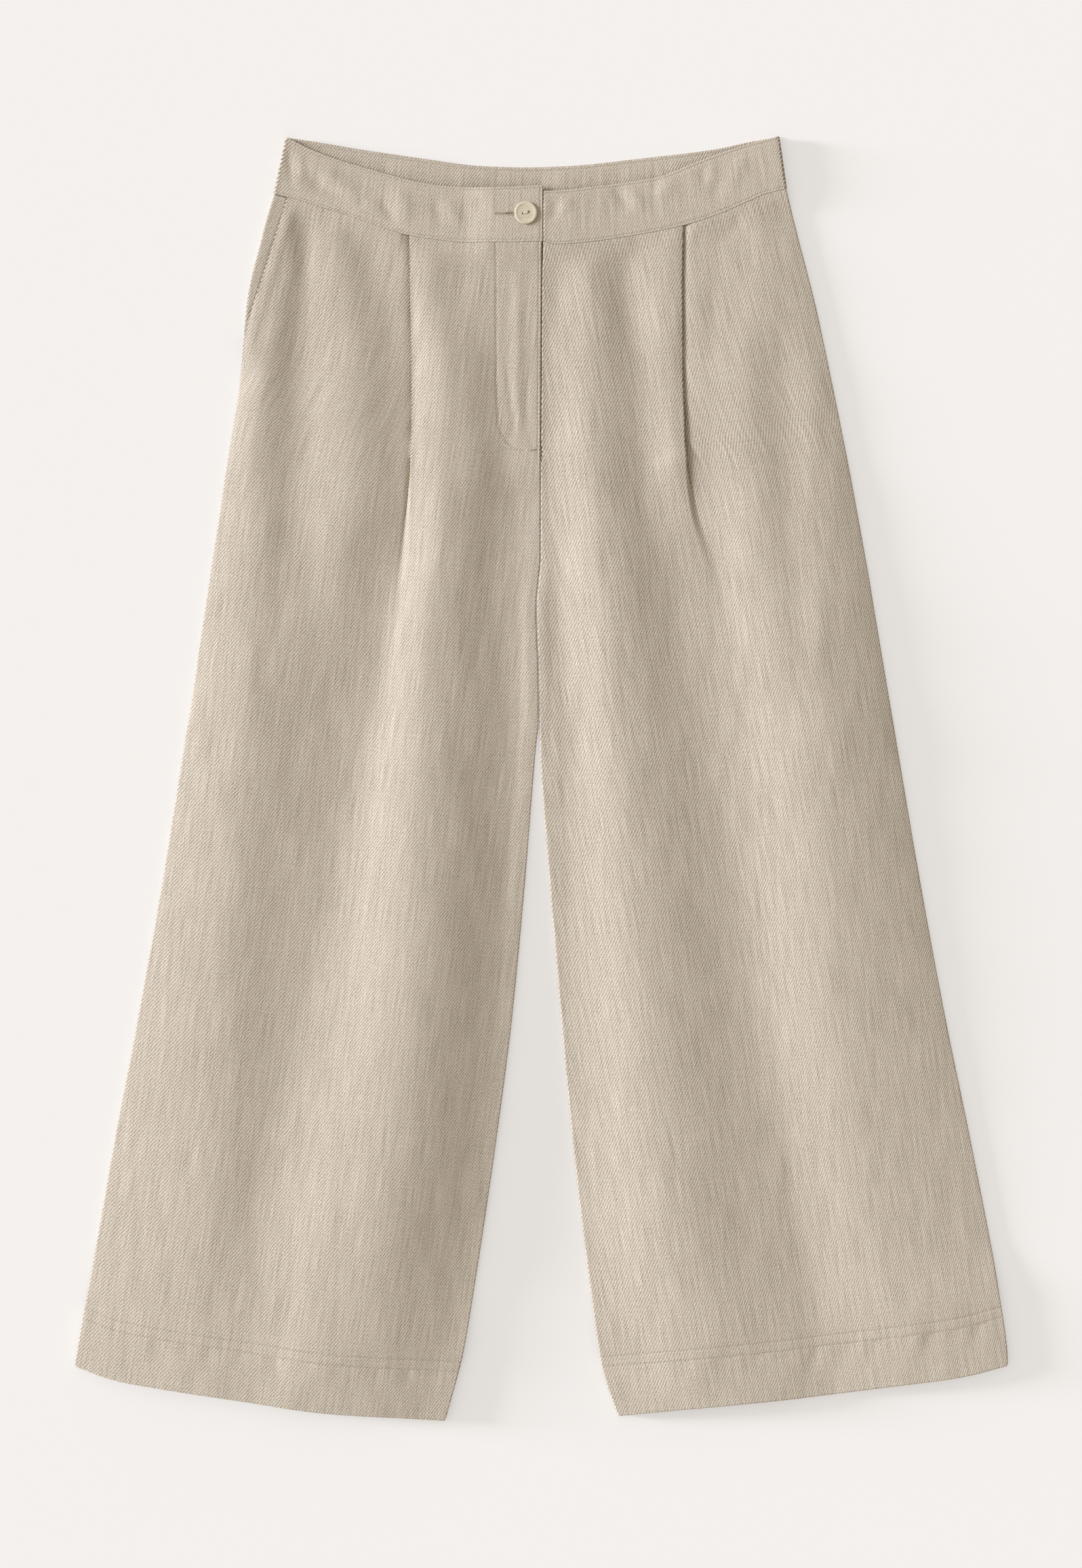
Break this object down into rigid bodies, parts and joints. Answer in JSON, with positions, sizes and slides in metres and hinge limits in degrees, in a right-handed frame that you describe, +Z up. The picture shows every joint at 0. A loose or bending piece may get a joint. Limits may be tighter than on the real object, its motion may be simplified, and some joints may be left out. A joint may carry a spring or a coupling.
{
  "type": "culottes",
  "caption": "Wide-legged linen culottes laid flat, front up, with a deep curved waistband, a button closure over a fly, a pleat on each front and deep turned-up hems.",
  "frame": {"origin": "centre of the garment's outline, on the surface that it lies on", "axes": "+X towards the wearer's left, +Y along the legs towards the waist, +Z up, out of the garment's front"},
  "size_m": [0.6886, 0.9474, 0.0191],
  "materials": {
    "linen": "undyed linen twill, matt, with slubs",
    "horn": "pale horn-like, polished"
  },
  "bodies": {
    "root": {"leg_front_right": "linen", "leg_front_left": "linen", "leg_back_right": "linen", "leg_back_left": "linen", "band_front_right": "linen", "band_front_left": "linen", "band_back": "linen", "band_back_facing": "linen", "fly_facing": "linen", "button": "horn"}
  },
  "joints": []
}
